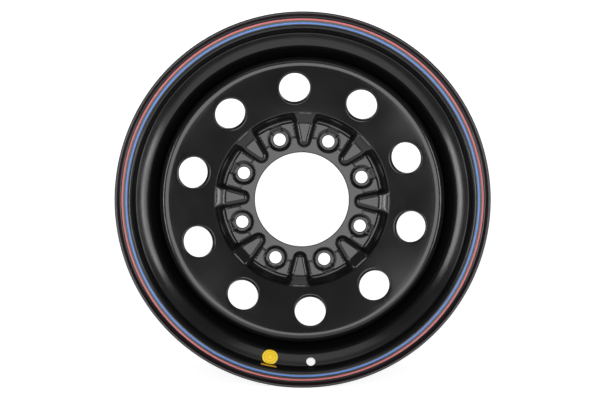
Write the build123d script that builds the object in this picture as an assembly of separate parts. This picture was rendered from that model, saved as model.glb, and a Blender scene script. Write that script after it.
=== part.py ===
from build123d import *
import os
from math import asin, cos, degrees, radians, sin, tan

# Steel truck wheel made of two welded pressings: a rolled drop-centre rim and a dished eight-stud disc.
# The axle runs along Y through the origin, at half the rim's width, and the outer side faces -Y.
# Sections are drawn as radius and depth, with depth measured from the outer lip towards the vehicle.
# Clock angles run clockwise from the top, as seen from the outer side.
# A bend's radius is the one on the inside of the bend, and a bend is rolled in a few flats.

# Rim: flanges and tyre seats
rim_width = 190.5            # between the tyre faces of the two flanges
bead_seat_radius = 218.3     # where a seat meets its flange
bead_seat_taper = 5.0        # degrees
bead_seat_length = 17.7      # from the front flange's tyre face to the shelf
flange_height = 17.4         # above the bead seat
flange_reach = 10.5          # from a flange's tyre face out to its lip
rim_sheet = 3.6
curl_radius = 5.9
curl_flat_count = 1

# Rim: from the seats down to the well
shelf_angle = 62.0           # steep shelf that carries the valve hole, degrees from the axle
shelf_drop = 17.3            # from the bead seat's radius to the foot of the shelf
front_slope_angle = 25.0
well_drop = 28.1             # from the bead seat's radius to the well
well_width = 52.0
rear_slope_angle = 40.0
valve_hole_diameter = 11.5
valve_rise = 1.7             # from the middle of the shelf towards the seat
valve_clock = 177.2

# Disc: sheet and dish
disc_sheet = 7.5
skirt_fit = 0.1              # gap left between the skirt and the well
ring_depth = 63.0            # outer face of the vent ring at its inner edge
ring_angle = 20.0            # slope of the vent ring
ring_margin = 29.0           # from the stud circle to the ring's inner edge
shoulder_radius = 7.5
shoulder_flat_count = 2
hub_drop = 12.5              # from the ring's inner edge down to the pads
step_angle = 63.5            # wall between the ring and the hub
bore_diameter = 125.0
pocket_width = 2.5           # floor of the groove between the pads and the step
pocket_depth = 2.5
pad_edge_run = 1.5

# Disc: vents
vent_count = 10
vent_diameter = 40.5
vent_share = 0.4345          # place of the vents on the way from the ring's inner edge to the skirt
vent_clock = -4.0

# Disc: stud seats
stud_count = 8
stud_circle_diameter = 170.0
stud_hole_diameter = 16.3
dish_diameter = 34.5         # dished seat around a stud hole
dish_depth = 2.0
drain_width = 13.0           # notch from a dish to the pocket

# Disc: ribs between the studs
rib_clock = 2.0
rib_height = 5.5
rib_draft = 42.0             # degrees that a rib's sides lean in
rib_nose_gap = 6.8           # from the bore to the rib's nose
rib_nose_radius = 9.7        # foot of the rib's inner end
nose_flat_count = 3
rib_tail_radius = 18.0
rib_tail_overlap = 2.0       # how far the tail runs in under the ring
rib_climb_run = 8.0          # length of the ramp from the rib's top to the ring
rib_climb_inset = 4.7        # from the ring's inner edge to the top of that ramp
rib_hollow_radius = 1.0      # end of the hollow behind a rib, at its deepest

# Welds between the skirt and the well
weld_count = 8
weld_arc = 30.0              # degrees covered by one weld
weld_leg = 5.5
weld_margin = 0.25           # from a weld's toe to the end of the well

# Stickers on the weather side of the rim
sticker_thickness = 0.2
glue_thickness = 0.2         # between a sticker and the metal
sticker_clock = 191.8
round_sticker_diameter = 20.5
round_sticker_drop = 1.1     # from the middle of the shelf towards the well
strip_sticker_length = 20.3
strip_sticker_width = 8.0
strip_sticker_gap = 6.0      # from the strip to the edge of the shelf

# Sizes that follow
overall_width = rim_width + 2 * flange_reach
flange_radius = bead_seat_radius + flange_height
well_radius = bead_seat_radius - well_drop - rim_sheet
disc_radius = well_radius - skirt_fit
bore_radius = bore_diameter / 2
stud_circle_radius = stud_circle_diameter / 2
stud_clock = rib_clock + 180 / stud_count
hub_depth = ring_depth + hub_drop
ring_inner_radius = stud_circle_radius + ring_margin
ring_slope = tan(radians(ring_angle))
step_slope = tan(radians(step_angle))
step_foot_radius = ring_inner_radius - hub_drop / step_slope
pocket_foot_radius = step_foot_radius - pocket_depth / step_slope
pad_radius = pocket_foot_radius - pocket_width - pad_edge_run
vent_circle_radius = ring_inner_radius + vent_share * (disc_radius - ring_inner_radius)
rib_lean = tan(radians(rib_draft))
rib_nose_place = bore_radius + rib_nose_gap + rib_nose_radius
rib_tail_place = ring_inner_radius + rib_tail_overlap
rib_climb_end = ring_inner_radius - rib_climb_inset
rib_climb_start = rib_climb_end - rib_climb_run
rib_widening = (rib_tail_radius - rib_nose_radius) / (rib_tail_place - rib_nose_place)


def at(radius, depth):
    """Section point: X is the distance from the axle, Y the place along it."""
    return Vector(radius, depth - overall_width / 2)


def clocked(shape, clock):
    """Turn a shape made on the +X side to its place on the clock."""
    return Rot(0, clock - 90, 0) * shape


def around(shape, count, clock):
    return [clocked(shape, clock + 360 / count * i) for i in range(count)]


def runs_of(path):
    return [(b - a).normalized() for a, b in zip(path, path[1:])]


def left_of(run):
    return Vector(-run.Y, run.X)


def left_path(path, offset):
    """The path moved sideways to its left."""
    sides = [left_of(run) for run in runs_of(path)]
    corners = [
        point + (a + b) * (offset / (1 + a.dot(b)))
        for point, a, b in zip(path[1:], sides, sides[1:])
    ]
    return [path[0] + sides[0] * offset, *corners, path[-1] + sides[-1] * offset]


def bend(before, corner, after, radius, flats, sheet):
    """Points that replace a corner by a bend with this many flats, where the sheet lies to the left."""
    first, second = runs_of([before, corner, after])
    turn = first.cross(second).Z
    side = 1 if turn > 0 else -1
    path_radius = radius + sheet if turn > 0 else radius
    half = first.get_angle(second) / 2
    start = corner - first * path_radius * tan(radians(half))
    centre = start + left_of(first) * side * path_radius
    step = 2 * half / (flats + 1)
    reach = path_radius / cos(radians(step / 2))
    spoke = (start - centre).normalized() * reach
    return [centre + spoke.rotate(Axis.Z, side * step * (i + 0.5)) for i in range(flats + 1)]


def sheet_section(path, sheet):
    return make_face(Polyline(*path, *reversed(left_path(path, sheet)), close=True))


def flange_path():
    """One flange from its lip to its bead seat, as radius and distance from the lip."""
    lip = Vector(flange_radius, 0)
    crest = Vector(flange_radius, flange_reach)
    root = Vector(bead_seat_radius, flange_reach)
    seat = root + Vector(-tan(radians(bead_seat_taper)), 1) * bead_seat_length
    return [lip, *bend(lip, crest, root, curl_radius, curl_flat_count, rim_sheet), root, seat]


def well_depths():
    """Depths at the foot of the shelf and at the two ends of the well, on the tyre side."""
    seat = flange_path()[-1]
    seat_drop = bead_seat_radius - seat.X
    foot = seat.Y + (shelf_drop - seat_drop) / tan(radians(shelf_angle))
    well_start = foot + (well_drop - shelf_drop) / tan(radians(front_slope_angle))
    return foot, well_start, well_start + well_width


def rim_path():
    """Tyre side of the rim from the outer lip to the inner one."""
    flange = flange_path()
    foot, well_start, well_end = well_depths()
    well = bead_seat_radius - well_drop
    rise = tan(radians(rear_slope_angle))
    taper = tan(radians(bead_seat_taper))
    rear_root = overall_width - flange_reach
    rear_run = (well_drop - taper * (rear_root - well_end)) / (rise - taper)
    return [
        *[at(point.X, point.Y) for point in flange],
        at(bead_seat_radius - shelf_drop, foot),
        at(well, well_start),
        at(well, well_end),
        at(well + rear_run * rise, well_end + rear_run),
        *[at(point.X, overall_width - point.Y) for point in reversed(flange[:-1])],
    ]


def weather_corners():
    """Weather side of the front bead seat, shelf and slope: their four corners, from the flange inwards."""
    seat_end = len(flange_path()) - 1
    return left_path(rim_path(), rim_sheet)[seat_end - 1:seat_end + 3]


def shelf_plane(drop):
    """Plane on the shelf's weather side, facing out of the metal, this far below the shelf's middle."""
    root, seat_edge, foot, well_edge = weather_corners()
    run = (foot - seat_edge).normalized()
    return Plane((seat_edge + foot) / 2 + run * drop, x_dir=run, z_dir=left_of(run))


def make_rim():
    rim = revolve(sheet_section(rim_path(), rim_sheet), Axis.Y)
    hole = shelf_plane(-valve_rise) * Cylinder(valve_hole_diameter / 2, 4 * rim_sheet)
    return rim - clocked(hole, valve_clock)


def skirt_end():
    """Depth of the skirt's inner edge, which leaves room on the well for the welds."""
    return well_depths()[-1] - weld_leg - weld_margin


def disc_blank():
    """Dished sheet with the groove around the pads pressed into its outer face."""
    edge_depth = ring_depth - (disc_radius - ring_inner_radius) * ring_slope
    bore = at(bore_radius, hub_depth)
    step = at(ring_inner_radius, ring_depth)
    skirt = at(disc_radius, skirt_end())
    edge = at(disc_radius, edge_depth)
    shoulder = bend(step, edge, skirt, shoulder_radius, shoulder_flat_count, disc_sheet)
    plain = [bore, at(step_foot_radius, hub_depth), step, *shoulder, skirt]
    front = [
        bore,
        at(pad_radius, hub_depth),
        at(pad_radius + pad_edge_run, hub_depth + pocket_depth),
        at(pocket_foot_radius, hub_depth + pocket_depth),
        step,
        *shoulder,
        skirt,
    ]
    back = left_path(plain, disc_sheet)
    return revolve(make_face(Polyline(*front, *reversed(back), close=True)), Axis.Y)


def hub_plane():
    """Plane on the pads' outer face, with X away from the axle and Z out of the wheel."""
    return Plane(at(0, hub_depth), x_dir=(1, 0, 0), z_dir=(0, -1, 0))


def rib_width_at(place):
    """Radius of the circle at this place that touches both sides of a rib's foot."""
    return rib_nose_radius + (place - rib_nose_place) * rib_widening


def tongue_corners(nose_place, nose_radius, height):
    """Corners of an outline that widens as a rib does, from a straight tail round a nose of flats."""
    lean = asin(rib_widening)
    tail_radius = nose_radius + (rib_tail_place - nose_place) * rib_widening
    tail = Vector(rib_tail_place, tail_radius / cos(lean))
    step = (180 - 2 * degrees(lean)) / (nose_flat_count + 1)
    spoke = Vector(0, nose_radius / cos(radians(step / 2))).rotate(Axis.Z, degrees(lean))
    nose = [
        Vector(nose_place, 0) + spoke.rotate(Axis.Z, step * (i + 0.5))
        for i in range(nose_flat_count + 1)
    ]
    plane = hub_plane().offset(height)
    outline = [tail, *nose, Vector(tail.X, -tail.Y)]
    return [plane.from_local_coords(corner) for corner in outline]


def tongue(nose_place, inset, low, high):
    """Tongue with a rib's leaning sides, moved in by inset, between two heights over the pads."""
    foot, top = [
        tongue_corners(nose_place, rib_width_at(nose_place) - inset - rib_lean * height, height)
        for height in (low, high)
    ]
    next_foot = foot[1:] + foot[:1]
    next_top = top[1:] + top[:1]
    outlines = [foot, top, *zip(foot, next_foot, next_top, top)]
    return Solid(Shell([make_face(Polyline(*outline, close=True)) for outline in outlines]))


def make_rib():
    """Raised rib with a flat top, and the ramp on which it climbs to the vent ring."""
    climb_depth = ring_depth + rib_climb_inset * ring_slope
    tail_depth = ring_depth - rib_tail_overlap * ring_slope
    root_depth = hub_depth + pocket_depth
    top_depth = hub_depth - rib_height
    low_rib = tongue(rib_nose_place, 0, -pocket_depth, rib_height)
    tall_rib = tongue(rib_climb_start, 0, -pocket_depth, hub_depth - tail_depth)
    profile = Polyline(
        at(bore_radius, root_depth),
        at(bore_radius, top_depth),
        at(rib_climb_start, top_depth),
        at(rib_climb_end, climb_depth),
        at(rib_tail_place, tail_depth),
        at(rib_tail_place, root_depth),
        close=True,
    )
    return (low_rib + tall_rib) & extrude(make_face(profile), 2 * rib_tail_radius, both=True)


def rib_hollow():
    """Hollow behind a rib, one sheet below its outer face."""
    wall = disc_sheet / cos(radians(rib_draft))
    top = rib_height - disc_sheet
    nose_needed = rib_hollow_radius + wall + rib_lean * top
    nose_place = rib_nose_place + (nose_needed - rib_nose_radius) / rib_widening
    return tongue(nose_place, wall, -2 * disc_sheet, top)


def vent_hole():
    """Round hole punched square to the vent ring."""
    depth = ring_depth - (vent_circle_radius - ring_inner_radius) * ring_slope
    lean = radians(ring_angle)
    plane = Plane(at(vent_circle_radius, depth), x_dir=(0, 0, 1), z_dir=(-sin(lean), -cos(lean), 0))
    return plane * Cylinder(vent_diameter / 2, 4 * disc_sheet)


def stud_seat():
    """What is cut for one stud: its hole, the dish around it and the notch that drains the dish."""
    hole = stud_hole_diameter / 2
    section = Polyline(
        (0, 0),
        (dish_diameter / 2, 0),
        (hole, dish_depth),
        (hole, 2 * disc_sheet),
        (0, 2 * disc_sheet),
        close=True,
    )
    drain_end = pad_radius + pad_edge_run - stud_circle_radius
    drain = Pos(drain_end / 2, 0, 0) * Box(drain_end, 2 * dish_depth, drain_width)
    return Pos(*at(stud_circle_radius, hub_depth)) * (revolve(make_face(section), Axis.Y) + drain)


def make_disc():
    disc = disc_blank()
    disc = disc + around(make_rib(), stud_count, rib_clock)
    disc = disc - around(rib_hollow(), stud_count, rib_clock)
    disc = disc - around(vent_hole(), vent_count, vent_clock)
    return disc - around(stud_seat(), stud_count, stud_clock)


def make_welds():
    """Separate fillet welds in the corner between the skirt's inner edge and the well."""
    corner = at(well_radius, skirt_end())
    toes = [corner + Vector(0, weld_leg), corner - Vector(weld_leg, 0)]
    bead = revolve(make_face(Polyline(corner, *toes, close=True)), Axis.Y, weld_arc)
    return Compound(children=around(bead, weld_count, rib_clock))


def film(points, angle):
    """Thin film on this line of the rim's weather side, over an angle about the sticker's clock place."""
    back = left_path(points, glue_thickness)
    front = left_path(points, glue_thickness + sticker_thickness)
    section = make_face(Polyline(*back, *reversed(front), close=True))
    return clocked(revolve(section, Axis.Y, angle), sticker_clock - angle / 2)


def make_round_sticker():
    """Round sticker on the shelf that follows it over both edges."""
    place = shelf_plane(round_sticker_drop)
    span = degrees(2 * round_sticker_diameter / place.origin.X)
    punch = place * Cylinder(round_sticker_diameter / 2, round_sticker_diameter)
    return film(weather_corners(), span) & clocked(punch, sticker_clock)


def make_strip_sticker():
    """Short strip on the bead seat, above the round sticker."""
    root, seat_edge = weather_corners()[:2]
    run = (seat_edge - root).normalized()
    inner = seat_edge - run * strip_sticker_gap
    return film([inner - run * strip_sticker_width, inner], degrees(strip_sticker_length / root.X))


def main():
    parts = {
        "rim": make_rim(),
        "disc": make_disc(),
        "weld_beads": make_welds(),
        "round_sticker": make_round_sticker(),
        "strip_sticker": make_strip_sticker(),
    }
    os.makedirs("parts", exist_ok=True)
    for name, shape in parts.items():
        export_step(shape, f"parts/{name}.step")
        print(name, round(shape.volume), shape.is_valid, len(shape.solids()))


if __name__ == "__main__":
    main()
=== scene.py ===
from math import acos, asin, atan2, ceil, cos, degrees, exp, hypot, pi, radians, sin, sqrt, tan

import bmesh
import bpy
from mathutils import Matrix, Vector


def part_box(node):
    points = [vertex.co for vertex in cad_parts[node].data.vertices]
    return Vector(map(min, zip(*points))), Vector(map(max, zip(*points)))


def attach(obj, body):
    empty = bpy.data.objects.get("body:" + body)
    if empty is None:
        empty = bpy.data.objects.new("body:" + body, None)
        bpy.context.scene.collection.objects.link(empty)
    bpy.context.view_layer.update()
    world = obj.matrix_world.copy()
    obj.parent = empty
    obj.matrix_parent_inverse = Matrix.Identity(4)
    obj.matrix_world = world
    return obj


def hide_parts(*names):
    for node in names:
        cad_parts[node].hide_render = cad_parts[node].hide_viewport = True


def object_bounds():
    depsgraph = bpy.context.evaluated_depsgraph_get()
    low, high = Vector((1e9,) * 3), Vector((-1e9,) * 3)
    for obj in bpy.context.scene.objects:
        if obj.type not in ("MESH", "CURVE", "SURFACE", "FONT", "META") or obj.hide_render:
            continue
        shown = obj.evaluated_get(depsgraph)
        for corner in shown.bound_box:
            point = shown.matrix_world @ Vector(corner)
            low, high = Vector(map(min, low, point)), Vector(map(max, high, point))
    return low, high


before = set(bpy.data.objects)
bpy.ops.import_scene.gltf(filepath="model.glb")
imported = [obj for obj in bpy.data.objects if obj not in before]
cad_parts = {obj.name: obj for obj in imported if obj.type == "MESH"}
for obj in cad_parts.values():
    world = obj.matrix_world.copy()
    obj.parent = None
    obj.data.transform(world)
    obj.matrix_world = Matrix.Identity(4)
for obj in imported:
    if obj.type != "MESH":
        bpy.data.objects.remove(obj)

# Black steel truck wheel: a rolled rim, a stamped disc welded into it, two pinstripes and two stickers.
# Shapes are worked out in millimetres as radius, depth behind the outer lip and clock angle,
# where clock angles run clockwise from the top as seen from the outer side.

bl_info = {
    "name": "Steel truck wheel",
    "version": (1, 0, 0),
    "blender": (4, 5, 0),
    "location": "View3D > Sidebar > Wheel",
    "description": "Builds the finished surfaces of a black steel truck wheel around its solids",
    "category": "Object",
}

MM = 0.001
CAD_LOW, CAD_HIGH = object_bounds()
RIM_LOW, RIM_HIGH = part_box("rim")
HALF_WIDTH = (RIM_HIGH.y - RIM_LOW.y) / 2 / MM
FLANGE_RADIUS = (RIM_HIGH.x - RIM_LOW.x) / 2 / MM
TURN_PARTS = 288     # flats around a turned piece


def length(name, description, default):
    """A length property whose default is given in millimetres."""
    return bpy.props.FloatProperty(
        name=name, description=description, default=default * MM, unit="LENGTH", precision=5
    )


def turn(name, description, default):
    """An angle property whose default is given in degrees."""
    return bpy.props.FloatProperty(
        name=name, description=description, default=radians(default), subtype="ANGLE"
    )


def count(name, description, default):
    return bpy.props.IntProperty(name=name, description=description, default=default, min=1)


def linear(hex_colour):
    """Linear red, green, blue and alpha of an sRGB hex colour."""
    channels = [int(hex_colour[i:i + 2], 16) / 255 for i in (1, 3, 5)]
    return tuple(
        c / 12.92 if c <= 0.04045 else ((c + 0.055) / 1.055) ** 2.4 for c in channels
    ) + (1.0,)


def colour(name, description, default):
    return bpy.props.FloatVectorProperty(
        name=name, description=description, default=linear(default), size=4,
        subtype="COLOR", min=0.0, max=1.0,
    )


class WheelRimSizes(bpy.types.PropertyGroup):
    """Sizes of the rolled rim and what is painted on it."""

    flange_radius: length("Flange radius", "Outside of the flanges", FLANGE_RADIUS)
    seat_radius: length("Bead seat radius", "Where a bead seat meets its flange", 218.3)
    seat_taper: turn("Bead seat taper", "Slope of the bead seats", 5.0)
    seat_length: length("Bead seat length", "From the front flange to the shelf", 17.7)
    flange_reach: length("Flange reach", "From a flange's tyre face out to its lip", 10.5)
    sheet: length("Rim sheet", "Thickness of the rim", 3.6)
    shelf_angle: turn("Shelf angle", "Steepness of the shelf with the valve hole", 62.0)
    shelf_drop: length("Shelf drop", "From the bead seat to the foot of the shelf", 17.3)
    slope_angle: turn("Front slope", "Slope from the shelf to the well", 25.0)
    well_drop: length("Well drop", "From the bead seat to the well", 28.1)
    well_width: length("Well width", "Flat part of the well", 52.0)
    rear_angle: turn("Rear slope", "Slope from the well to the inner bead seat", 40.0)
    hump: length("Safety hump", "Height of the hump that keeps a tyre on its seat", 1.2)
    valve_diameter: length("Valve hole", "Diameter of the valve hole", 11.5)
    valve_rise: length("Valve hole rise", "From the middle of the shelf towards the seat", 2.2)
    valve_clock: turn("Valve hole clock", "Clock angle of the valve hole", 177.2)
    red_stripe_radius: length("Red stripe", "Radius of the red pinstripe", 226.9)
    blue_stripe_radius: length("Blue stripe", "Radius of the blue pinstripe", 222.1)
    stripe_width: length("Stripe width", "Width of a pinstripe", 1.9)


class WheelDiscSizes(bpy.types.PropertyGroup):
    """Sizes of the stamped disc and its welds."""

    sheet: length("Disc sheet", "Thickness of the disc", 7.5)
    radius: length("Disc radius", "Outside of the skirt", 186.5)
    skirt_end: length("Skirt end", "Depth of the skirt's inner edge", 105.986)
    ring_depth: length("Ring depth", "Depth of the vent ring at its inner edge", 63.0)
    ring_angle: turn("Ring angle", "Slope of the vent ring", 20.0)
    ring_radius: length("Ring inner radius", "Inner edge of the vent ring", 114.0)
    shoulder: length("Shoulder radius", "Outer radius of the bend at the disc's edge", 10.5)
    shoulder_back: length("Shoulder inside", "Inner radius of the bend at the disc's edge", 7.5)
    ring_margin: length("Ring margin", "Bend radius that sets where the flat ring ends", 15.0)
    hub_drop: length("Hub drop", "From the ring's inner edge down to the pads", 12.5)
    step_angle: turn("Step angle", "Wall between the ring and the hub", 63.5)
    bore_diameter: length("Bore", "Diameter of the centre bore", 125.0)
    pocket_depth: length("Pocket depth", "Groove around the pads", 2.5)
    vent_count: count("Vents", "Number of vents", 10)
    vent_diameter: length("Vent", "Diameter of a vent", 40.5)
    vent_circle: length("Vent circle", "Radius of the circle of vents", 145.5)
    vent_clock: turn("Vent clock", "Clock angle of the first vent", -4.0)
    stud_count: count("Studs", "Number of stud holes", 8)
    stud_circle: length("Stud circle", "Radius of the circle of stud holes", 85.0)
    stud_diameter: length("Stud hole", "Diameter of a stud hole", 16.3)
    dish_diameter: length("Stud seat", "Diameter of the dished seat", 33.0)
    drain_width: length("Drain", "Width of the notch that drains a seat", 13.0)
    rib_clock: turn("Rib clock", "Clock angle of the first rib", 2.0)
    rib_height: length("Rib height", "Height of a rib over the pads", 5.5)
    rib_draft: turn("Rib draft", "Lean of a rib's sides", 42.0)
    rib_nose: length("Rib nose", "Radius of the foot of a rib's inner end", 9.7)
    rib_nose_place: length("Rib nose place", "From the axle to the middle of a rib's nose", 79.0)
    rib_tail: length("Rib tail", "Half the width of a rib's foot where it runs in under the ring", 18.0)
    weld_arc: turn("Weld arc", "Angle covered by one weld", 30.0)
    weld_leg: length("Weld leg", "Leg of the fillet weld", 5.5)


class WheelStickerSizes(bpy.types.PropertyGroup):
    """Sizes and place of the two stickers."""

    clock: turn("Sticker clock", "Clock angle of both stickers", 191.8)
    round_diameter: length("Round sticker", "Diameter of the round sticker", 20.0)
    round_rise: length("Round sticker rise", "From the middle of the shelf towards the seat", 0.3)
    strip_length: length("Strip length", "Long side of the strip", 20.3)
    strip_width: length("Strip width", "Short side of the strip", 8.0)
    strip_gap: length("Strip gap", "From the strip to the inner end of the bead seat", 6.0)


class WheelFinish(bpy.types.PropertyGroup):
    """Colours of the paint and the films."""

    paint: colour("Paint", "Black paint of the whole wheel", "#0a0a0c")
    red_line: colour("Red line", "Outer pinstripe", "#c9585a")
    blue_line: colour("Blue line", "Inner pinstripe", "#477ccb")
    yellow_film: colour("Yellow film", "Round sticker", "#fbd92a")
    ring_print: colour("Ring print", "Rings printed on the round sticker", "#e9a91f")
    orange_film: colour("Orange film", "Strip sticker", "#ffb63a")
    floor: colour("Floor", "Floor and backdrop", "#f4f4f4")


class WheelStage(bpy.types.PropertyGroup):
    """Camera and light."""

    camera_distance: length("Camera distance", "From the outer lip to the camera", 1200.0)
    camera_left: length("Camera to the left", "From the axle to the camera", 31.0)
    camera_up: length("Camera height", "From the axle up to the camera", 15.0)
    aim_left: length("Aim to the left", "From the axle to the middle of the picture", 4.35)
    aim_down: length("Aim below", "From the axle down to the middle of the picture", -0.1)
    wheel_share: bpy.props.FloatProperty(
        name="Wheel height", description="Share of the picture's height that the wheel takes",
        default=377.0 / 400.0, subtype="FACTOR", min=0.1, max=1.0,
    )


def mm(value):
    return value / MM


def spot(radius, depth, clock):
    """Point in metres at this radius and depth in millimetres, and this clock angle in radians."""
    return Vector((radius * sin(clock), depth - HALF_WIDTH, radius * cos(clock))) * MM


def add_node(tree, kind, values=None, links=None, **settings):
    """Adds a node with its settings, socket values and incoming links."""
    node = tree.nodes.new(kind)
    for name, value in settings.items():
        setattr(node, name, value)
    for socket, value in (values or {}).items():
        node.inputs[socket].default_value = value
    for socket, source in (links or {}).items():
        tree.links.new(source, node.inputs[socket])
    return node


def new_tree(name):
    material = bpy.data.materials.new(name)
    material.use_nodes = True
    material.node_tree.nodes.clear()
    return material, material.node_tree


def baked_black_paint(name, base, low_roughness, high_roughness, peel, grain):
    """Dipped and oven-baked black paint on pressed steel.

    It flows out to a half gloss with faint orange peel, so highlights are soft at their edges,
    and slow changes in its film make some patches a little duller than others.
    """
    peel_size = 2.2      # mm, orange peel; real peel is finer, and this is as fine as the picture shows
    cloud_size = 45.0    # mm, patches of thicker and thinner paint
    material, tree = new_tree(name)
    place = add_node(tree, "ShaderNodeTexCoord")
    waves = add_node(
        tree, "ShaderNodeTexNoise", {"Scale": 1 / (peel_size * MM), "Detail": 2.0},
        {"Vector": place.outputs["Object"]},
    )
    clouds = add_node(
        tree, "ShaderNodeTexNoise", {"Scale": 1 / (cloud_size * MM), "Detail": 3.0},
        {"Vector": place.outputs["Object"]},
    )
    gloss = add_node(
        tree, "ShaderNodeMapRange",
        {"From Min": 0.3, "From Max": 0.7, "To Min": low_roughness, "To Max": high_roughness},
        {"Value": clouds.outputs["Fac"]},
    )
    relief = add_node(
        tree, "ShaderNodeBump", {"Strength": peel, "Distance": grain * MM},
        {"Height": waves.outputs["Fac"]},
    )
    paint = add_node(
        tree, "ShaderNodeBsdfPrincipled", {"Base Color": base, "IOR": 1.5},
        {"Roughness": gloss.outputs["Result"], "Normal": relief.outputs["Normal"]},
    )
    add_node(tree, "ShaderNodeOutputMaterial", None, {"Surface": paint.outputs["BSDF"]})
    return material


def line_enamel(name, base):
    """Enamel line drawn with a striping wheel: thin, level and a little softer in gloss than the paint."""
    flow_size = 6.0      # mm, slow thickness changes along a line
    material, tree = new_tree(name)
    place = add_node(tree, "ShaderNodeTexCoord")
    flow = add_node(
        tree, "ShaderNodeTexNoise", {"Scale": 1 / (flow_size * MM), "Detail": 2.0},
        {"Vector": place.outputs["Object"]},
    )
    gloss = add_node(
        tree, "ShaderNodeMapRange", {"To Min": 0.34, "To Max": 0.48}, {"Value": flow.outputs["Fac"]}
    )
    enamel = add_node(
        tree, "ShaderNodeBsdfPrincipled", {"Base Color": base, "IOR": 1.5},
        {"Roughness": gloss.outputs["Result"]},
    )
    add_node(tree, "ShaderNodeOutputMaterial", None, {"Surface": enamel.outputs["BSDF"]})
    return material


def printed_film(name, film, print_colour, rings):
    """Printed vinyl film: even colour, a satin face, and thin printed rings where it is the round sticker."""
    fibre_size = 1.5     # mm, unevenness of the glue under the film
    material, tree = new_tree(name)
    place = add_node(tree, "ShaderNodeTexCoord")
    unevenness = add_node(
        tree, "ShaderNodeTexNoise", {"Scale": 1 / (fibre_size * MM)}, {"Vector": place.outputs["Object"]}
    )
    relief = add_node(
        tree, "ShaderNodeBump", {"Strength": 0.1, "Distance": 0.1 * MM},
        {"Height": unevenness.outputs["Fac"]},
    )
    vinyl = add_node(
        tree, "ShaderNodeBsdfPrincipled", {"Base Color": film, "Roughness": 0.42, "IOR": 1.46},
        {"Normal": relief.outputs["Normal"]},
    )
    if rings:
        centre_out = add_node(
            tree, "ShaderNodeVectorMath", {1: (0.5, 0.5, 0.0)}, {0: place.outputs["UV"]},
            operation="DISTANCE",
        )
        bands = add_node(tree, "ShaderNodeValToRGB", None, {"Fac": centre_out.outputs["Value"]})
        ramp = bands.color_ramp
        ramp.elements[0].color = film
        ramp.elements[1].color = film
        for middle, half in rings:
            steps = (-half, film), (-half / 3, print_colour), (half / 3, print_colour), (half, film)
            for shift, shade in steps:
                ramp.elements.new(middle + shift).color = shade
        tree.links.new(bands.outputs["Color"], vinyl.inputs["Base Color"])
    add_node(tree, "ShaderNodeOutputMaterial", None, {"Surface": vinyl.outputs["BSDF"]})
    return material


def add_piece(name, vertices, faces, material, sharp_angle=50.0, weld=0.0):
    """Makes a smooth-shaded piece from vertices in metres."""
    mesh = bpy.data.meshes.new(name)
    mesh.from_pydata([tuple(v) for v in vertices], [], faces)
    work = bmesh.new()
    work.from_mesh(mesh)
    if weld:
        bmesh.ops.remove_doubles(work, verts=work.verts, dist=weld)
    bmesh.ops.recalc_face_normals(work, faces=work.faces)
    work.to_mesh(mesh)
    work.free()
    mesh.shade_smooth()
    mesh.set_sharp_from_angle(angle=radians(sharp_angle))
    mesh.materials.append(material)
    piece = bpy.data.objects.new(name, mesh)
    bpy.context.scene.collection.objects.link(piece)
    return piece


def rounded(points, radii, step=7.0):
    """A path in the plane whose inner corners are arcs of these radii, with points every few degrees."""
    path = [Vector(points[0])]
    for before, corner, after, radius in zip(points, points[1:], points[2:], radii):
        a = (Vector(before) - Vector(corner)).normalized()
        b = (Vector(after) - Vector(corner)).normalized()
        half = acos(max(-1.0, min(1.0, a.dot(b)))) / 2
        turn_angle = pi - 2 * half
        if radius <= 0 or turn_angle < 1e-4:
            path.append(Vector(corner))
            continue
        centre = Vector(corner) + (a + b).normalized() * (radius / sin(half))
        start = Vector(corner) + a * (radius / tan(half)) - centre
        side = 1 if a.cross(b) < 0 else -1
        parts = max(2, ceil(degrees(turn_angle) / step))
        for i in range(parts + 1):
            angle = side * turn_angle * i / parts
            path.append(centre + Matrix.Rotation(angle, 2) @ start)
    path.append(Vector(points[-1]))
    return path


def divided(path, longest):
    """The path with no run longer than this."""
    result = [path[0]]
    for a, b in zip(path, path[1:]):
        parts = max(1, ceil((b - a).length / longest))
        result += [a.lerp(b, i / parts) for i in range(1, parts + 1)]
    return result


def sideways(path, offset):
    """The path moved to its left, along the mean of its neighbours' directions."""
    moved = []
    for i, point in enumerate(path):
        run = path[min(i + 1, len(path) - 1)] - path[max(i - 1, 0)]
        run.normalize()
        moved.append(point + Vector((-run.y, run.x)) * offset)
    return moved


def rim_corners(rim):
    """Corners of the rim's tyre side from the outer lip to the inner one, as radius and depth."""
    reach = mm(rim.flange_reach)
    seat_radius = mm(rim.seat_radius)
    top = mm(rim.flange_radius)
    width = 2 * HALF_WIDTH
    taper = tan(rim.seat_taper)
    seat_end = reach + mm(rim.seat_length)
    seat_end_radius = seat_radius - taper * mm(rim.seat_length)
    foot_radius = seat_radius - mm(rim.shelf_drop)
    foot = seat_end + (seat_end_radius - foot_radius) / tan(rim.shelf_angle)
    well_radius = seat_radius - mm(rim.well_drop)
    well_start = foot + (foot_radius - well_radius) / tan(rim.slope_angle)
    well_end = well_start + mm(rim.well_width)
    rise = tan(rim.rear_angle)
    rear_root = width - reach
    rear_run = (seat_radius - taper * (rear_root - well_end) - well_radius) / (rise - taper)
    corners = [
        (top, 0), (top, reach), (seat_radius, reach), (seat_end_radius, seat_end), (foot_radius, foot),
        (well_radius, well_start), (well_radius, well_end),
        (well_radius + rear_run * rise, well_end + rear_run),
        (seat_radius, rear_root), (top, rear_root), (top, width),
    ]
    return [Vector(corner) for corner in corners]


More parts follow.
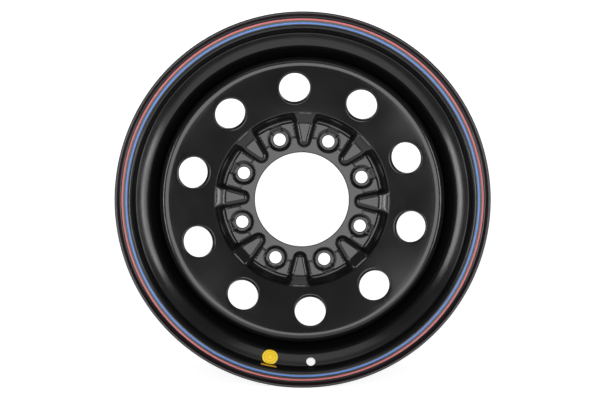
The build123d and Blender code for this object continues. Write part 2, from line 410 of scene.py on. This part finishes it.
def moved_left(corners, offset):
    """The cornered path moved to its left."""
    moved = [corners[0] + Vector((-offset, 0))]
    for before, corner, after in zip(corners, corners[1:], corners[2:]):
        a = (corner - before).normalized()
        b = (after - corner).normalized()
        left_a = Vector((-a.y, a.x))
        left_b = Vector((-b.y, b.x))
        moved.append(corner + (left_a + left_b) * (offset / (1 + left_a.dot(left_b))))
    moved.append(corners[-1] + Vector((-offset, 0)))
    return moved


def rim_middle(rim):
    """Middle of the rim's sheet from lip to lip, with rolled bends, a crowned shelf and humps."""
    reach = mm(rim.flange_reach)
    seat_radius = mm(rim.seat_radius)
    seat_end = reach + mm(rim.seat_length)
    rear_root = 2 * HALF_WIDTH - reach
    middle = moved_left(rim_corners(rim), mm(rim.sheet) / 2)
    crown = Vector((-0.25, -0.55))
    middle.insert(4, (middle[3] + middle[4]) / 2 + crown)
    curl, root, seat_edge, shelf_crown, well_bend, rear_bend = 7.7, 6.6, 4.5, 40.0, 14.0, 12.0
    bends = [
        curl, root, seat_edge, shelf_crown, seat_edge, well_bend, well_bend, rear_bend, root, curl,
    ]
    path = divided(rounded(middle, bends), 4.0)
    # the hump at the inner end of each bead seat, where the path is still near the seat's radius
    hump_half = 3.2
    near_seat = 9.0
    hump_places = [seat_end - 7.5, rear_root - mm(rim.seat_length) - 4.0]
    for point in path:
        for place in hump_places:
            if abs(point.x - seat_radius) < near_seat:
                point.x += valley(point.y - place, mm(rim.hump), hump_half)
    return path


def lathe(section, closed):
    """Vertices and faces of a section of radius and depth turned about the axle."""
    vertices = [spot(p[0], p[1], 2 * pi * i / TURN_PARTS) for i in range(TURN_PARTS) for p in section]
    size = len(section)
    faces = []
    for i in range(TURN_PARTS):
        here, there = i * size, (i + 1) % TURN_PARTS * size
        for k in range(size if closed else size - 1):
            l = (k + 1) % size
            faces.append((here + k, here + l, there + l, there + k))
    return vertices, faces


def weather_line(rim):
    """The rim's weather side near the front shelf, as radius and depth, from the flange to the well."""
    past_shelf = 70.0
    path = sideways(rim_middle(rim), mm(rim.sheet) / 2)
    return [p for p in path if p.y < past_shelf]


def shelf_place(rim, drop):
    """Point on the middle of the shelf's weather side, moved down by drop, with the outward normal."""
    seat_edge, foot = moved_left(rim_corners(rim), mm(rim.sheet))[3:5]
    run = (foot - seat_edge).normalized()
    return (seat_edge + foot) / 2 + run * drop, Vector((-run.y, run.x))


class WHEEL_OT_rim(bpy.types.Operator):
    """Build the rolled rim with its valve hole"""

    bl_idname = "wheel.build_rim"
    bl_label = "Rim"

    def execute(self, context):
        rim = context.scene.wheel_rim
        finish = context.scene.wheel_finish
        half = mm(rim.sheet) / 2
        middle = rim_middle(rim)
        tyre = sideways(middle, -half)
        weather = sideways(middle, half)
        lip_round = 0.9
        for side in (tyre, weather):
            side[0].y += lip_round
            side[-1].y -= lip_round
        lip_half = half - lip_round
        front_lip = [Vector((middle[0].x - lip_half, 0)), Vector((middle[0].x + lip_half, 0))]
        rear_lip = [Vector((p.x, 2 * HALF_WIDTH)) for p in reversed(front_lip)]
        section = [*tyre, *rear_lip, *reversed(weather), *front_lip]
        vertices, faces = lathe(section, True)
        paint = baked_black_paint("baked black paint on rolled steel", finish.paint, 0.17, 0.23, 0.05, 0.25)
        piece = add_piece("rim_rolled", vertices, faces, paint, 60.0)
        place, normal = shelf_place(rim, -mm(rim.valve_rise))
        clock = rim.valve_clock
        out = Vector((normal.x * sin(clock), normal.y, normal.x * cos(clock)))
        punch_mesh = bpy.data.meshes.new("valve_punch")
        work = bmesh.new()
        hole_radius = rim.valve_diameter / 2
        bmesh.ops.create_cone(
            work, cap_ends=True, segments=64, radius1=hole_radius, radius2=hole_radius, depth=6 * rim.sheet
        )
        work.to_mesh(punch_mesh)
        work.free()
        punch_mesh.materials.append(paint)
        punch = bpy.data.objects.new("valve_punch", punch_mesh)
        context.scene.collection.objects.link(punch)
        aim = out.to_track_quat("Z", "X").to_matrix().to_4x4()
        punch.matrix_world = Matrix.Translation(spot(place.x, place.y, clock)) @ aim
        cut = piece.modifiers.new("valve hole", "BOOLEAN")
        cut.operation = "DIFFERENCE"
        cut.solver = "EXACT"
        cut.object = punch
        context.view_layer.update()
        graph = context.evaluated_depsgraph_get()
        punched = bpy.data.meshes.new_from_object(piece.evaluated_get(graph))
        piece.modifiers.clear()
        piece.data = punched
        bpy.data.objects.remove(punch)
        punched.set_sharp_from_angle(angle=radians(60.0))
        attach(piece, "root")
        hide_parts("rim")
        return {"FINISHED"}


class WHEEL_OT_pinstripes(bpy.types.Operator):
    """Draw the two pinstripes on the outer flange"""

    bl_idname = "wheel.build_pinstripes"
    bl_label = "Pinstripes"

    def execute(self, context):
        rim = context.scene.wheel_rim
        finish = context.scene.wheel_finish
        proud = 0.05
        past_wall = 16.0
        line = sideways(rim_middle(rim), mm(rim.sheet) / 2)
        wall = [p for p in line if p.y < past_wall]
        for name, radius, base in (
            ("pinstripe_red", rim.red_stripe_radius, finish.red_line),
            ("pinstripe_blue", rim.blue_stripe_radius, finish.blue_line),
        ):
            section = []
            parts = 6
            for i in range(parts + 1):
                r = mm(radius) + mm(rim.stripe_width) * (i / parts - 0.5)
                section.append((r, depth_on(wall, r) - proud * (1 if 0 < i < parts else 0.2)))
            vertices, faces = lathe(section, False)
            piece = add_piece(name, vertices, faces, line_enamel(name.replace("_", " ") + " enamel", base))
            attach(piece, "root")
        return {"FINISHED"}


def depth_on(line, radius):
    """Depth at which a falling line of radius and depth has this radius."""
    for a, b in zip(line, line[1:]):
        if (a.x - radius) * (b.x - radius) <= 0 and abs(a.x - b.x) > 1e-6:
            return a.y + (b.y - a.y) * (radius - a.x) / (b.x - a.x)
    raise ValueError(f"no point of the line has radius {radius}")


def soft_min(a, b, k):
    """The smaller value, with the corner between them rounded over about k."""
    h = max(k - abs(a - b), 0.0) / k
    return min(a, b) - h * h * k / 4


def soft_max(a, b, k):
    return -soft_min(-a, -b, k)


def ease(value, start, end):
    t = max(0.0, min(1.0, (value - start) / (end - start)))
    return t * t * (3 - 2 * t)


def between(value, start, full, fade, end):
    """Rises from 0 to 1 between start and full, and falls back between fade and end."""
    return ease(value, start, full) * (1 - ease(value, fade, end))


def valley(distance, depth, half_width):
    """Depth of a soft groove, or height of a soft ridge, at this distance from its middle."""
    return depth * exp(-(distance / half_width) ** 2)


def follow(points, value):
    """Height on straight runs through points of place and height."""
    for (x0, y0), (x1, y1) in zip(points, points[1:]):
        if value <= x1:
            return y0 + (y1 - y0) * max(0.0, (value - x0) / (x1 - x0))
    return points[-1][1] + (value - points[-1][0]) * 2.0


def rolled_edge(distance, radius):
    """How far a punched edge rolls over, at this distance from the hole's wall."""
    if distance >= radius:
        return 0.0
    away = radius - max(0.0, distance)
    return radius - sqrt(max(0.0, radius * radius - away * away))


class DiscForm:
    """Heights over the pads, in millimetres, of the disc's outer and inner face."""

    def __init__(self, disc):
        self.sheet = mm(disc.sheet)
        self.ring_slope = tan(disc.ring_angle)
        self.step_slope = tan(disc.step_angle)
        self.ring_radius = mm(disc.ring_radius)
        self.hub_drop = mm(disc.hub_drop)
        self.hub_depth = mm(disc.ring_depth) + self.hub_drop
        self.ring_back = self.sheet / cos(disc.ring_angle)
        self.step_back = self.sheet / cos(disc.step_angle)
        self.step_foot = self.ring_radius - self.hub_drop / self.step_slope
        self.pocket = mm(disc.pocket_depth)
        self.pad_edge = self.step_foot - self.pocket / self.step_slope - 4.0
        self.bore = mm(disc.bore_diameter) / 2
        self.stud_circle = mm(disc.stud_circle)
        self.stud_hole = mm(disc.stud_diameter) / 2
        self.dish = mm(disc.dish_diameter) / 2
        self.drain = mm(disc.drain_width) / 2
        self.rib_height = mm(disc.rib_height)
        self.rib_lean = tan(disc.rib_draft)
        self.rib_wall = self.sheet / cos(disc.rib_draft)
        self.half_pitch = pi / disc.stud_count
        self.vent_circle = mm(disc.vent_circle)
        self.vent_radius = mm(disc.vent_diameter) / 2
        self.lean = disc.ring_angle
        self.nose = (mm(disc.rib_nose_place), mm(disc.rib_nose))
        self.tail = (self.ring_radius + 2.0, mm(disc.rib_tail))
        # pressed details, as places from the axle: a rib's climb to the ring, where its sides turn steeper,
        # the crease along its foot, the short grooves beside it and the start of a drain's flutes
        self.climb = (101.3, 109.3)
        self.steeper = (96.0, 110.0)
        self.crease_run = (82.2, 83.4, 104.0, 107.0)
        self.groove_radius = 83.2
        self.groove_run = (9.5, 11.0, 17.0, 18.5)
        self.flute_start = (93.0, 95.0)
        # a seat from its hole to its edge, as distance and height, with a raised lip half way
        self.seat_line = [
            (7.0, -3.4), (8.6, -3.2), (10.6, -3.0), (11.5, -3.4),
            (self.dish - 0.4, 0.0), (self.dish + 1.0, 2.5),
        ]
        self.drain_depth = 2.4
        self.drain_slope = 3.0

    def ring(self, r):
        return self.hub_drop + (r - self.ring_radius) * self.ring_slope

    def inside_rib(self, r, from_rib):
        """Distance inside the outline of a rib's foot, and the place along the rib."""
        p = r * cos(from_rib)
        q = abs(r * sin(from_rib))
        place, radius = self.nose
        widening = (self.tail[1] - radius) / (self.tail[0] - place)
        lean = asin(widening)
        side = (radius + (p - place) * widening) / cos(lean) - q
        if p > place - q * tan(lean):
            return side * cos(lean), p
        return radius - hypot(p - place, q), p

    def outer(self, r, from_stud):
        """Height of the outer face of the hub at this radius and angle from a stud's clock place."""
        from_rib = self.half_pitch - abs(from_stud)
        rise = soft_min(self.ring(r), (r - self.step_foot) * self.step_slope, 4.5)
        pad = soft_min(0.0, (self.pad_edge - r) * 1.9 + 0.3, 1.2)
        level = soft_max(soft_max(pad, -self.pocket, 0.6), rise, 2.0)
        inside, p = self.inside_rib(r, from_rib)
        start, end = self.climb
        slope = (self.ring(end) - self.rib_height) / (end - start)
        ramp = soft_min(self.rib_height + slope * (p - start), self.ring(p), 2.0)
        top = soft_max(self.rib_height, ramp, 2.5) - 4.0 * ease(p, end + 4.2, self.tail[0] + 0.5)
        lean = self.rib_lean * (1 - 0.65 * ease(p, *self.steeper))
        rib = soft_min(top, inside / lean, 4.4)
        level = soft_max(level, rib, 0.8)
        level -= valley(inside + 0.2, 1.2, 0.9) * between(r, *self.crease_run)
        # the short grooves between a rib and the seats beside it
        level -= valley(r - self.groove_radius, 0.9, 0.75) * between(r * sin(from_rib), *self.groove_run)
        # the dished seat, its raised lip and its drain
        away = r * cos(from_stud) - self.stud_circle
        across = r * sin(from_stud)
        rho = hypot(away, across)
        level = soft_min(level, follow(self.seat_line, rho), 0.7)
        past_edge = r - self.pad_edge
        if 0 < away and past_edge < 3.0:
            past_side = abs(across) - self.drain
            floor = valley(past_edge + 2.0, 2.0, 2.0) - self.drain_depth
            floor += (max(0.0, past_side + 1.0) + max(0.0, past_edge - 0.5)) * self.drain_slope
            level = soft_min(level, floor, 0.6)
            flute = between(r, *self.flute_start, self.pad_edge + 0.5, self.pad_edge + 2.5)
            level -= flute * valley(past_side + 0.2, 1.2, 0.85)
        level -= rolled_edge(rho - self.stud_hole, 0.9)
        return level - rolled_edge(r - self.bore, 1.2)

    def inner(self, r, from_stud):
        """Height of the inner face of the hub."""
        from_rib = self.half_pitch - abs(from_stud)
        step = (r - self.step_foot) * self.step_slope - self.step_back
        rise = soft_min(self.ring(r) - self.ring_back, step, 6.0)
        level = soft_max(-self.sheet, rise, 5.0)
        inside, p = self.inside_rib(r, from_rib)
        hollow = soft_min(self.rib_height - self.sheet, (inside - self.rib_wall) / self.rib_lean, 2.0)
        level = soft_max(level, hollow - 6.0 * ease(p, 112.0, 120.0), 1.5)
        rho = hypot(r * cos(from_stud) - self.stud_circle, r * sin(from_stud))
        return level + rolled_edge(rho - self.stud_hole, 0.6) + rolled_edge(r - self.bore, 0.8)

    def outer_ring(self, r, from_vent):
        return self.ring(r) - rolled_edge(self.from_vent_wall(r, from_vent, self.vent_circle), 2.2)

    def inner_ring(self, r, from_vent):
        circle = self.vent_circle + self.sheet * sin(self.lean)
        return self.ring(r) - self.ring_back + rolled_edge(self.from_vent_wall(r, from_vent, circle), 1.0)

    def from_vent_wall(self, r, from_vent, circle):
        away = (r * cos(from_vent) - circle) / cos(self.lean)
        return hypot(away, r * sin(from_vent)) - self.vent_radius


def spread(parts, first, growth):
    """Shares from 0 to 1 whose steps grow from the hole outwards."""
    steps = [first * growth ** i for i in range(parts)]
    total = sum(steps)
    shares = [0.0]
    for step in steps:
        shares.append(shares[-1] + step / total)
    return shares


def half_sector(hole_centre, hole_radial, hole_tangent, low, high, half_angle, arc_parts, side_parts, shares):
    """Grid of radius and angle between half a hole on the middle line and the edge of half a sector."""
    border = [(low, half_angle * i / arc_parts) for i in range(arc_parts)]
    border += [(low + (high - low) * i / side_parts, half_angle) for i in range(side_parts)]
    border += [(high, half_angle * (arc_parts - i) / arc_parts) for i in range(arc_parts + 1)]
    rows = []
    centre = Vector((hole_centre, 0.0))
    for radius, angle in border:
        edge = Vector((radius * cos(angle), radius * sin(angle)))
        out = edge - centre
        around = atan2(out.y / hole_tangent, out.x / hole_radial)
        wall = centre + Vector((hole_radial * cos(around), hole_tangent * sin(around)))
        row = []
        for share in shares:
            point = wall.lerp(edge, share)
            row.append((point.length, atan2(point.y, point.x)))
        row[-1] = (radius, angle)
        rows.append(row)
    return rows


class Patchwork:
    """Collects grids of points into one mesh."""

    def __init__(self):
        self.vertices = []
        self.faces = []

    def grid(self, rows, flip):
        first = len(self.vertices)
        size = len(rows[0])
        for row in rows:
            self.vertices += row
        for i in range(len(rows) - 1):
            for k in range(size - 1):
                a = first + i * size + k
                face = (a, a + 1, a + size + 1, a + size)
                self.faces.append(face[::-1] if flip else face)


class WHEEL_OT_disc(bpy.types.Operator):
    """Build the stamped disc with its vents, ribs and stud seats"""

    bl_idname = "wheel.build_disc"
    bl_label = "Disc"

    def execute(self, context):
        disc = context.scene.wheel_disc
        finish = context.scene.wheel_finish
        form = DiscForm(disc)
        mesh = Patchwork()
        outer_border = form.ring_radius + 2.0
        inner_border = form.ring_radius + 7.0
        bend_run = mm(disc.ring_margin) * tan((pi / 2 + disc.ring_angle) / 2)
        ring_end = mm(disc.radius) - bend_run * cos(disc.ring_angle)
        ring_end_back = ring_end + form.sheet * sin(disc.ring_angle)
        back_circle = form.vent_circle + form.sheet * sin(disc.ring_angle)
        radial = form.vent_radius * cos(disc.ring_angle)
        stud_half = pi / disc.stud_count
        vent_half = pi / disc.vent_count
        circle_parts = 240
        stud_arc = circle_parts // (2 * disc.stud_count)
        vent_arc = circle_parts // (2 * disc.vent_count)
        hub = (form.stud_circle, form.stud_hole, form.stud_hole)
        front_vent = (form.vent_circle, radial, form.vent_radius)
        back_vent = (back_circle, radial, form.vent_radius)
        jobs = [
            (form.outer, hub, (form.bore, outer_border), stud_half, stud_arc, 54, spread(42, 0.5, 1.004),
             disc.stud_count, disc.rib_clock + stud_half, False),
            (form.inner, hub, (form.bore, inner_border), stud_half, stud_arc, 54, spread(6, 0.6, 1.3),
             disc.stud_count, disc.rib_clock + stud_half, True),
            (form.outer_ring, front_vent, (outer_border, ring_end), vent_half, vent_arc, 22,
             spread(13, 0.3, 1.24), disc.vent_count, disc.vent_clock, False),
            (form.inner_ring, back_vent, (inner_border, ring_end_back), vent_half, vent_arc, 22,
             spread(5, 0.5, 1.7), disc.vent_count, disc.vent_clock, True),
        ]
        walls = {}
        for height, hole, (low, high), half, arc, side, shares, repeats, clock, back in jobs:
            rows = half_sector(*hole, low, high, half, arc, side, shares)
            heights = [[height(r, a) for r, a in row] for row in rows]
            for i in range(repeats):
                for sign in (1, -1):
                    middle = clock + 2 * pi * i / repeats
                    points = [
                        [spot(r, form.hub_depth - h, middle + sign * a) for (r, a), h in zip(row, line)]
                        for row, line in zip(rows, heights)
                    ]
                    mesh.grid(points, (sign > 0) == back)
                    walls.setdefault((repeats, i, sign), []).append([row[0] for row in points])
        for (repeats, i, sign), (front_edge, back_edge) in walls.items():
            rows = [[a.lerp(b, t / 2) for t in range(3)] for a, b in zip(front_edge, back_edge)]
            mesh.grid(rows, sign > 0)
        # the bore's wall
        for i in range(disc.stud_count):
            for sign in (1, -1):
                rows = []
                for j in range(stud_arc + 1):
                    angle = stud_half * j / stud_arc
                    clock = disc.rib_clock + stud_half + 2 * pi * i / disc.stud_count + sign * angle
                    top = form.hub_depth - form.outer(form.bore, angle)
                    bottom = form.hub_depth - form.inner(form.bore, angle)
                    rows.append([spot(form.bore, top + (bottom - top) * t / 3, clock) for t in range(4)])
                mesh.grid(rows, sign < 0)
        # the shoulder and the skirt, whose inner edge has its corners broken
        broken = 1.0
        skirt_end = mm(disc.skirt_end)
        outline = rounded(
            [(ring_end, form.hub_depth - form.ring(ring_end)),
             (mm(disc.radius), form.hub_depth - form.ring(mm(disc.radius))),
             (mm(disc.radius), skirt_end - broken)],
            [mm(disc.shoulder)], 4.5,
        )
        outline = [p for i, p in enumerate(outline) if i == 0 or (p - outline[i - 1]).length > 1e-4]
        corner_back = mm(disc.radius) - form.sheet
        back = rounded(
            [(corner_back, skirt_end - broken),
             (corner_back, form.hub_depth - form.ring(corner_back) + form.ring_back),
             (ring_end_back, form.hub_depth - form.ring(ring_end_back) + form.ring_back)],
            [mm(disc.shoulder_back)], 9.0,
        )
        back = [p for i, p in enumerate(back) if i == 0 or (p - back[i - 1]).length > 1e-4]
        edge = [
            Vector((mm(disc.radius) - broken, skirt_end)),
            Vector((corner_back + broken, skirt_end)),
        ]
        section = [*outline, *edge, *back]
        rows = []
        for j in range(circle_parts + 1):
            clock = disc.vent_clock + 2 * pi * j / circle_parts
            rows.append([spot(p[0], p[1], clock) for p in section])
        mesh.grid(rows, False)
        paint = baked_black_paint("baked black paint on stamped steel", finish.paint, 0.15, 0.2, 0.06, 0.25)
        piece = add_piece("disc_stamped", mesh.vertices, mesh.faces, paint, 75.0, 2e-6)
        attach(piece, "root")
        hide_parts("disc")
        return {"FINISHED"}


class WHEEL_OT_welds(bpy.types.Operator):
    """Lay the weld beads that join the disc to the rim"""

    bl_idname = "wheel.build_welds"
    bl_label = "Weld beads"

    def execute(self, context):
        disc = context.scene.wheel_disc
        finish = context.scene.wheel_finish
        leg = mm(disc.weld_leg)
        radius = mm(disc.radius) + 0.1
        ripple = 2.6     # mm between the ripples of a bead
        along = 180
        across = 10
        mesh = Patchwork()
        weld_count = disc.stud_count
        arc_length = disc.weld_arc * radius
        for i in range(weld_count):
            middle = disc.rib_clock + 2 * pi * i / weld_count
            rows = []
            for j in range(along + 1):
                t = j / along
                clock = middle + disc.weld_arc * (t - 0.5)
                end = min(t, 1 - t) * arc_length
                full = sqrt(max(0.0, 1 - max(0.0, 1 - end / 4.0) ** 2))
                size = leg * (0.25 + 0.75 * full)
                row = []
                for k in range(across + 1):
                    share = k / across
                    belly = sin(pi * share)
                    wave = abs(sin(pi * (t * arc_length / ripple + 0.35 * belly)))
                    crown = belly * full * (0.3 * wave - 0.5)
                    x = radius - size * share + crown * 0.7
                    y = mm(disc.skirt_end) + size * (1 - share) + crown * 0.7
                    row.append(spot(x, y, clock))
                row.append(spot(radius, mm(disc.skirt_end), clock))
                row.append(row[0])
                rows.append(row)
            mesh.grid(rows, False)
            for row, flip in ((rows[0], True), (rows[-1], False)):
                first = len(mesh.vertices)
                mesh.vertices += row[:-1]
                face = tuple(range(first, first + len(row) - 1))
                mesh.faces.append(face[::-1] if flip else face)
        paint = baked_black_paint("baked black paint on weld metal", finish.paint, 0.3, 0.42, 0.12, 0.3)
        piece = add_piece("weld_seams", mesh.vertices, mesh.faces, paint, 60.0, 2e-6)
        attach(piece, "root")
        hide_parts("weld_beads")
        return {"FINISHED"}


class WHEEL_OT_stickers(bpy.types.Operator):
    """Stick the round sticker and the strip on the rim"""

    bl_idname = "wheel.build_stickers"
    bl_label = "Stickers"

    def execute(self, context):
        rim = context.scene.wheel_rim
        sizes = context.scene.wheel_stickers
        finish = context.scene.wheel_finish
        line = divided(weather_line(rim), 0.6)
        run_lengths = [0.0]
        for a, b in zip(line, line[1:]):
            run_lengths.append(run_lengths[-1] + (b - a).length)
        middle = shelf_place(rim, -mm(sizes.round_rise))[0]
        nearest = min(range(len(line)), key=lambda i: (line[i] - middle).length)
        self.round_one(finish, sizes, line, run_lengths, nearest)
        self.strip(finish, sizes, rim, line, run_lengths)
        return {"FINISHED"}

    def on_line(self, line, run_lengths, s, lift):
        """Point at this run length along the line, lifted off the metal."""
        for i in range(len(line) - 1):
            if run_lengths[i + 1] >= s:
                span = run_lengths[i + 1] - run_lengths[i]
                point = line[i].lerp(line[i + 1], (s - run_lengths[i]) / span)
                run = (line[i + 1] - line[i]).normalized()
                return point + Vector((-run.y, run.x)) * lift
        raise ValueError("the sticker runs off the rim")

    def round_one(self, finish, sizes, line, run_lengths, nearest):
        """The round sticker, with its middle at this point of the line."""
        radius = mm(sizes.round_diameter) / 2
        rings, spokes = 14, 72
        vertices, uvs = [], []
        for k in range(rings + 1):
            share = k / rings
            lift = 0.38 if k < rings else 0.1
            for j in range(spokes):
                angle = 2 * pi * j / spokes
                down = radius * share * cos(angle)
                side = radius * share * sin(angle)
                p = self.on_line(line, run_lengths, run_lengths[nearest] + down, lift)
                vertices.append(spot(p.x, p.y, sizes.clock + side / line[nearest].x))
                uvs.append((0.5 + 0.5 * share * cos(angle), 0.5 + 0.5 * share * sin(angle)))
        faces = []
        for k in range(rings):
            for j in range(spokes):
                l = (j + 1) % spokes
                faces.append((k * spokes + j, (k + 1) * spokes + j, (k + 1) * spokes + l, k * spokes + l))
        film = printed_film(
            "printed yellow vinyl film", finish.yellow_film, finish.ring_print, [(0.2, 0.03), (0.36, 0.03)]
        )
        piece = add_piece("sticker_round", vertices, faces, film, 80.0)
        layer = piece.data.uv_layers.new(name="face")
        for loop in piece.data.loops:
            layer.data[loop.index].uv = uvs[loop.vertex_index]
        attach(piece, "root")
        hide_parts("round_sticker")

    def strip(self, finish, sizes, rim, line, run_lengths):
        """The strip, set off from the inner end of the seat's weather side."""
        width = mm(sizes.strip_width)
        edge_back = 2.26
        edge_depth = mm(rim.flange_reach) + mm(rim.seat_length) - edge_back
        edge = min(range(len(line)), key=lambda i: abs(line[i].y - edge_depth))
        first = run_lengths[edge] - mm(sizes.strip_gap) - width
        across, along = 8, 24
        rows = []
        for i in range(across + 1):
            lift = 0.36 if 0 < i < across else 0.1
            p = self.on_line(line, run_lengths, first + width * i / across, lift)
            half = mm(sizes.strip_length) / 2 / p.x
            rows.append([spot(p.x, p.y, sizes.clock + half * (2 * j / along - 1)) for j in range(along + 1)])
        mesh = Patchwork()
        mesh.grid(rows, False)
        film = printed_film("plain orange vinyl film", finish.orange_film, finish.orange_film, [])
        piece = add_piece("sticker_strip", mesh.vertices, mesh.faces, film, 80.0)
        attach(piece, "root")
        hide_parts("strip_sticker")


class WHEEL_OT_stage(bpy.types.Operator):
    """Set up the floor, the light and the camera"""

    bl_idname = "wheel.build_stage"
    bl_label = "Stage"

    def execute(self, context):
        stage = context.scene.wheel_stage
        finish = context.scene.wheel_finish
        self.floor(context, finish)
        self.light(context)
        self.camera(context, stage)
        context.scene.view_settings.view_transform = "Standard"
        return {"FINISHED"}

    def floor(self, context, finish):
        """Pale sweep that runs up behind the wheel."""
        ground = mm(CAD_LOW.z)
        front, back, wall, bend, half = -530.0, 2600.0, 4200.0, 900.0, 5000.0
        profile = rounded([(front, ground), (back, ground), (back, ground + wall)], [bend], 6.0)
        vertices, faces = [], []
        for p in profile:
            vertices += [Vector((-half, p[0], p[1])) * MM, Vector((half, p[0], p[1])) * MM]
        for i in range(len(profile) - 1):
            faces.append((2 * i, 2 * i + 1, 2 * i + 3, 2 * i + 2))
        material, tree = new_tree("matt white seamless paper")
        # Matt paper: no gloss. What the camera, gloss and glass see of it is lifted to white,
        # and the wheel's shadow stays on it.
        path = add_node(tree, "ShaderNodeLightPath")
        seen = add_node(
            tree, "ShaderNodeMath", None,
            {0: path.outputs["Is Camera Ray"], 1: path.outputs["Is Glossy Ray"]}, operation="MAXIMUM",
        )
        seen = add_node(
            tree, "ShaderNodeMath", None,
            {0: seen.outputs[0], 1: path.outputs["Is Transmission Ray"]}, operation="MAXIMUM",
        )
        lift = add_node(tree, "ShaderNodeMath", {1: 0.82}, {0: seen.outputs[0]}, operation="MULTIPLY")
        paper = add_node(
            tree, "ShaderNodeBsdfPrincipled",
            {"Base Color": finish.floor, "Roughness": 0.9, "Specular IOR Level": 0.0,
             "Emission Color": (1.0, 1.0, 1.0, 1.0)},
            {"Emission Strength": lift.outputs[0]},
        )
        add_node(tree, "ShaderNodeOutputMaterial", None, {"Surface": paper.outputs["BSDF"]})
        mesh = bpy.data.meshes.new("paper_sweep")
        mesh.from_pydata([tuple(v) for v in vertices], [], faces)
        mesh.shade_smooth()
        mesh.materials.append(material)
        sweep = bpy.data.objects.new("paper_sweep", mesh)
        context.scene.collection.objects.link(sweep)

    def light(self, context):
        """Tall soft boxes and strips left and right, a wide fill around the camera and a dim room."""
        dim = 0.18
        world = bpy.data.worlds.new("dim room")
        context.scene.world = world
        world.use_nodes = True
        tree = world.node_tree
        tree.nodes.clear()
        path = add_node(tree, "ShaderNodeLightPath")
        grey = add_node(
            tree, "ShaderNodeMapRange", {"To Min": dim, "To Max": 1.0},
            {"Value": path.outputs["Is Camera Ray"]},
        )
        room = add_node(
            tree, "ShaderNodeBackground", {"Color": (1.0, 1.0, 1.0, 1.0)},
            {"Strength": grey.outputs["Result"]},
        )
        add_node(tree, "ShaderNodeOutputWorld", None, {"Surface": room.outputs["Background"]})
        boxes = [
            ("soft_box_left", (-1.66, -1.12, 0.05), (0.5, 1.5), 2.2),
            ("soft_box_right", (1.66, -1.12, 0.05), (0.5, 1.5), 2.2),
            ("strip_left", (-1.6, -1.51, 0.0), (0.2, 1.5), 11.0),
            ("strip_right", (1.6, -1.51, 0.0), (0.2, 1.5), 11.0),
            ("front_fill", (0.0, -2.7, 0.0), (2.2, 1.9), 48.0),
            ("top_fill", (0.0, -1.6, 1.65), (1.6, 0.8), 4.0),
        ]
        for name, place, size, power in boxes:
            lamp = bpy.data.lights.new(name, "AREA")
            lamp.shape = "RECTANGLE"
            lamp.size, lamp.size_y = size
            lamp.energy = power
            holder = bpy.data.objects.new(name, lamp)
            context.scene.collection.objects.link(holder)
            holder.location = place
            holder.rotation_euler = (-Vector(place)).to_track_quat("-Z", "Y").to_euler()

    def camera(self, context, stage):
        """Camera where the wheel is seen almost straight on, from a little left and above."""
        frame_height_share = 400.0 / 600.0
        data = bpy.data.cameras.new("front camera")
        holder = bpy.data.objects.new("front_camera", data)
        context.scene.collection.objects.link(holder)
        lip = -HALF_WIDTH * MM
        holder.location = (-stage.camera_left, lip - stage.camera_distance, stage.camera_up)
        aim = Vector((-stage.aim_left, lip, -stage.aim_down))
        holder.rotation_euler = (aim - holder.location).to_track_quat("-Z", "Y").to_euler()
        picture_height = 2 * FLANGE_RADIUS * MM / stage.wheel_share
        data.sensor_width = 36.0
        data.lens = data.sensor_width * frame_height_share * stage.camera_distance / picture_height
        data.clip_start = 0.05
        data.clip_end = 50.0
        context.scene.camera = holder


class WHEEL_PT_sidebar(bpy.types.Panel):
    """Lists what the wheel is made of"""

    bl_idname = "WHEEL_PT_sidebar"
    bl_label = "Steel truck wheel"
    bl_space_type = "VIEW_3D"
    bl_region_type = "UI"
    bl_category = "Wheel"

    def draw(self, context):
        layout = self.layout
        for step in STEPS:
            layout.operator(step.bl_idname)
        for group_name in GROUPS:
            group = getattr(context.scene, group_name)
            box = layout.box()
            for name in group.__annotations__:
                box.prop(group, name)


STEPS = [WHEEL_OT_rim, WHEEL_OT_pinstripes, WHEEL_OT_disc, WHEEL_OT_welds, WHEEL_OT_stickers, WHEEL_OT_stage]
GROUPS = {
    "wheel_rim": WheelRimSizes,
    "wheel_disc": WheelDiscSizes,
    "wheel_stickers": WheelStickerSizes,
    "wheel_finish": WheelFinish,
    "wheel_stage": WheelStage,
}


def register():
    for kind in [*GROUPS.values(), *STEPS, WHEEL_PT_sidebar]:
        bpy.utils.register_class(kind)
    for name, kind in GROUPS.items():
        setattr(bpy.types.Scene, name, bpy.props.PointerProperty(type=kind))


def unregister():
    for name in GROUPS:
        delattr(bpy.types.Scene, name)
    for kind in reversed([*GROUPS.values(), *STEPS, WHEEL_PT_sidebar]):
        bpy.utils.unregister_class(kind)


def main():
    register()
    bpy.ops.wheel.build_rim()
    bpy.ops.wheel.build_pinstripes()
    bpy.ops.wheel.build_disc()
    bpy.ops.wheel.build_welds()
    bpy.ops.wheel.build_stickers()
    bpy.ops.wheel.build_stage()


if __name__ == "__main__":
    main()
